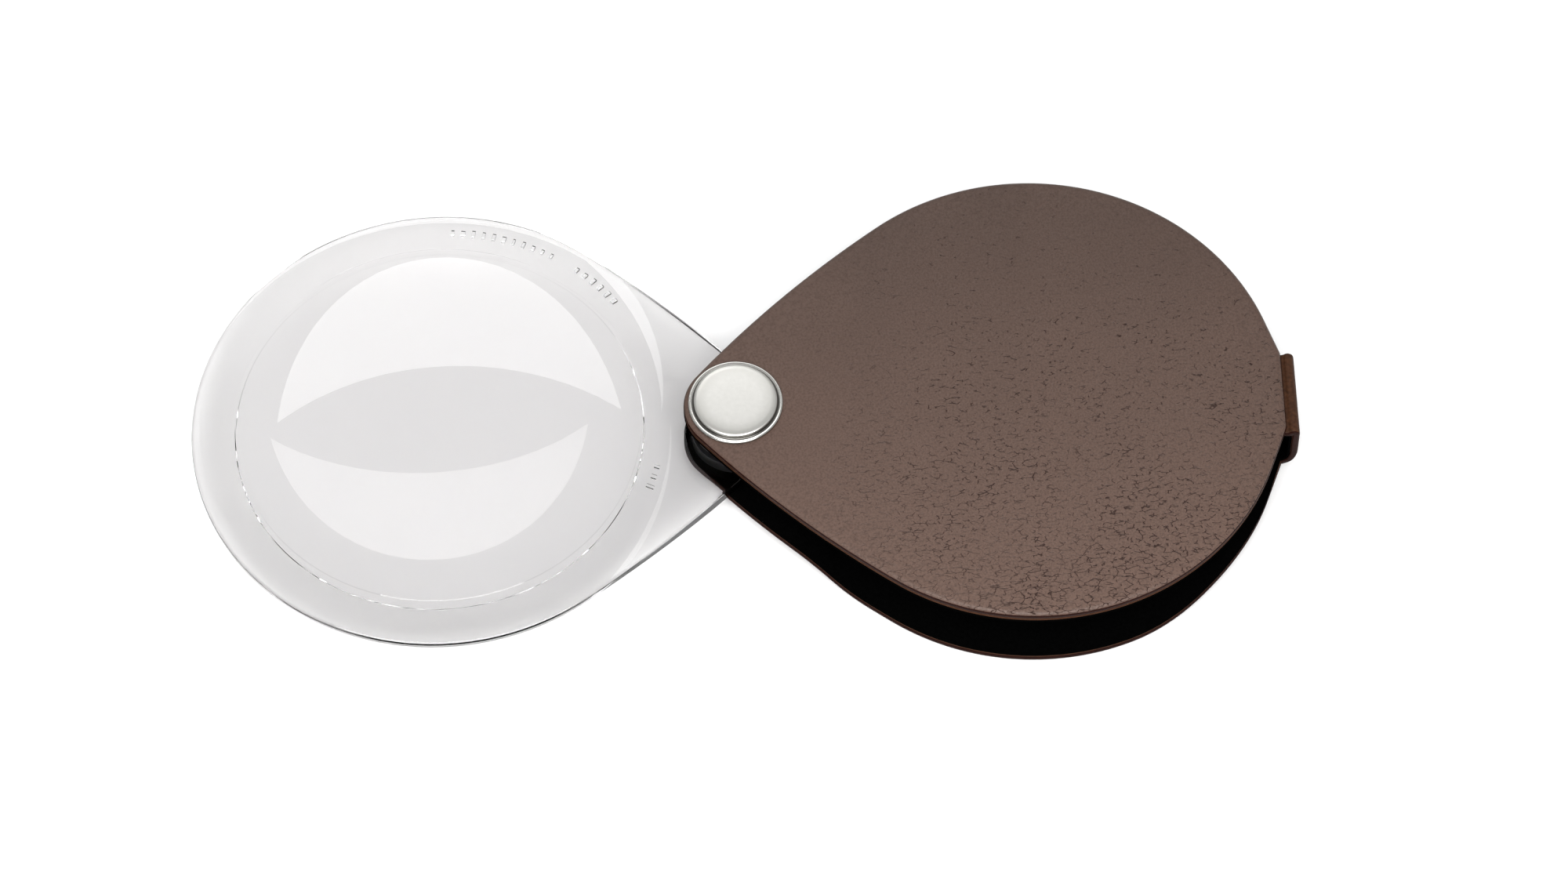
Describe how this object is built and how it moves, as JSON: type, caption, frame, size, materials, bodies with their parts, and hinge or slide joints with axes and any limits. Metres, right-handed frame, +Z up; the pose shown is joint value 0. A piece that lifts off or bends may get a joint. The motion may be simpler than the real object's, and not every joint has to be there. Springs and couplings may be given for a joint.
{
  "type": "folding magnifying glass",
  "caption": "Clear teardrop lens on a rivet, swung out of a flat leather case of two covers joined by a strap.",
  "frame": {"origin": "centre of the open magnifier's footprint, on the plane it rests on", "axes": "+X from the open lens through the rivet to the case's strap, +Z up, along the rivet"},
  "size_m": [0.1636, 0.0752, 0.0155],
  "materials": {
    "brown_leather": "finished grain leather, soft sheen",
    "black_lining": "thin black split leather, smooth",
    "grey_board": "plain millboard",
    "clear_acrylic": "polished clear moulding",
    "nickel_plate": "nickel plated, satin face and bright rim",
    "black_nylon": "moulded nylon"
  },
  "bodies": {
    "case": {"case_leather": "brown_leather", "case_lining": "black_lining", "top_board": "grey_board", "bottom_board": "grey_board", "spacer_top": "black_nylon", "spacer_bottom": "black_nylon", "rivet_cap_top": "nickel_plate", "rivet_cap_bottom": "nickel_plate", "rivet_post": "nickel_plate", "rivet_tube": "nickel_plate"},
    "lens": {"lens": "clear_acrylic"}
  },
  "joints": [
    {"name": "lens_swing", "type": "hinge", "parent": "case", "child": "lens", "pos_m": [-0.00108, -0.00046, 0.0078], "axis": [0, 0, 1], "continuous": true}
  ]
}
